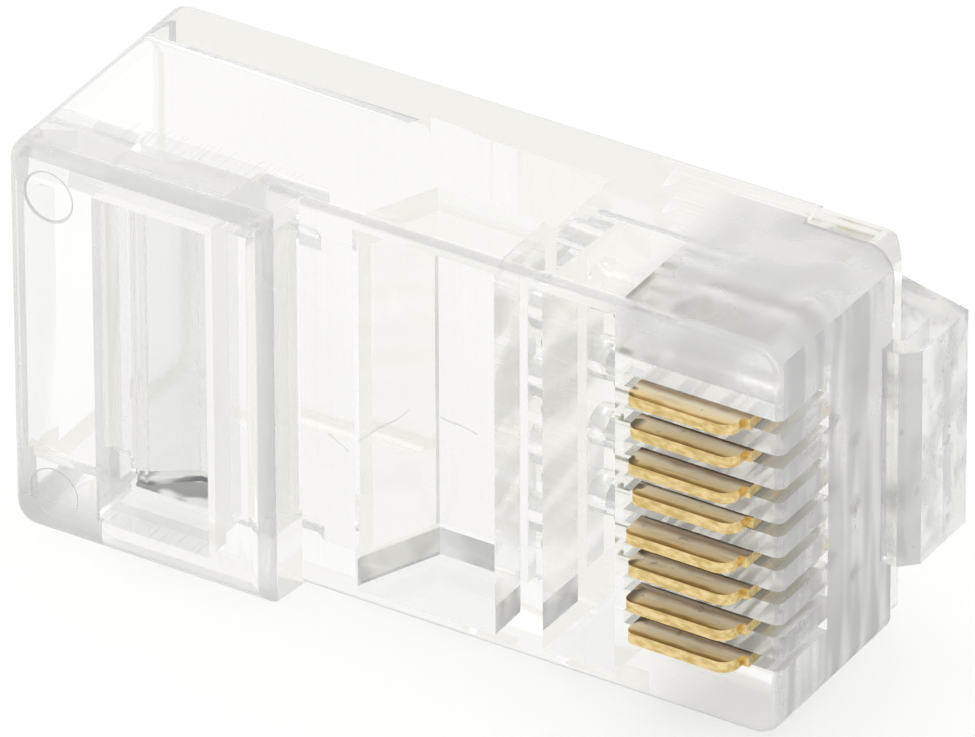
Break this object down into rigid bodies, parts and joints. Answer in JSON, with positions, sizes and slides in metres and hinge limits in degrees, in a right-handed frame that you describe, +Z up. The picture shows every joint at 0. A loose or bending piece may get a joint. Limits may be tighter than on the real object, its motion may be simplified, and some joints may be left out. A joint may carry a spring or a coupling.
{
  "type": "modular plug",
  "caption": "Clear modular plug for network cable: open cable entry, strain relief bar, gold blade contacts over wire channels and a flexible locking latch.",
  "frame": {"origin": "centre of the footprint, on the side wall that the plug lies on", "axes": "+X from the cable entry to the nose, -Y out of the contact face, +Y out of the latch side, +Z up, across the plug's width"},
  "size_m": [0.023, 0.0127, 0.0117],
  "materials": {
    "clear_plastic": "clear moulded polycarbonate, glossy, with fine scratches",
    "gold_contact": "gold-plated stamped copper alloy, satin"
  },
  "bodies": {
    "plug": {"housing": "clear_plastic"},
    "latch_arm": {"latch": "clear_plastic"},
    "blade_1": {"contact_1": "gold_contact"},
    "blade_2": {"contact_2": "gold_contact"},
    "blade_3": {"contact_3": "gold_contact"},
    "blade_4": {"contact_4": "gold_contact"},
    "blade_5": {"contact_5": "gold_contact"},
    "blade_6": {"contact_6": "gold_contact"},
    "blade_7": {"contact_7": "gold_contact"},
    "blade_8": {"contact_8": "gold_contact"}
  },
  "joints": [
    {"name": "latch_flex", "type": "hinge", "parent": "plug", "child": "latch_arm", "pos_m": [0.0107, 0.0003, 0.00584], "axis": [0, 0, 1], "range_deg": [0, 12], "stiffness_Nm_per_rad": 0.002},
    {"name": "crimp_1", "type": "slide", "parent": "plug", "child": "blade_1", "axis": [0, 1, 0], "range_m": [0, 0.00143]},
    {"name": "crimp_2", "type": "slide", "parent": "plug", "child": "blade_2", "axis": [0, 1, 0], "range_m": [0, 0.00153]},
    {"name": "crimp_3", "type": "slide", "parent": "plug", "child": "blade_3", "axis": [0, 1, 0], "range_m": [0, 0.00143]},
    {"name": "crimp_4", "type": "slide", "parent": "plug", "child": "blade_4", "axis": [0, 1, 0], "range_m": [0, 0.00153]},
    {"name": "crimp_5", "type": "slide", "parent": "plug", "child": "blade_5", "axis": [0, 1, 0], "range_m": [0, 0.00123]},
    {"name": "crimp_6", "type": "slide", "parent": "plug", "child": "blade_6", "axis": [0, 1, 0], "range_m": [0, 0.00143]},
    {"name": "crimp_7", "type": "slide", "parent": "plug", "child": "blade_7", "axis": [0, 1, 0], "range_m": [0, 0.00133]},
    {"name": "crimp_8", "type": "slide", "parent": "plug", "child": "blade_8", "axis": [0, 1, 0], "range_m": [0, 0.00143]}
  ]
}
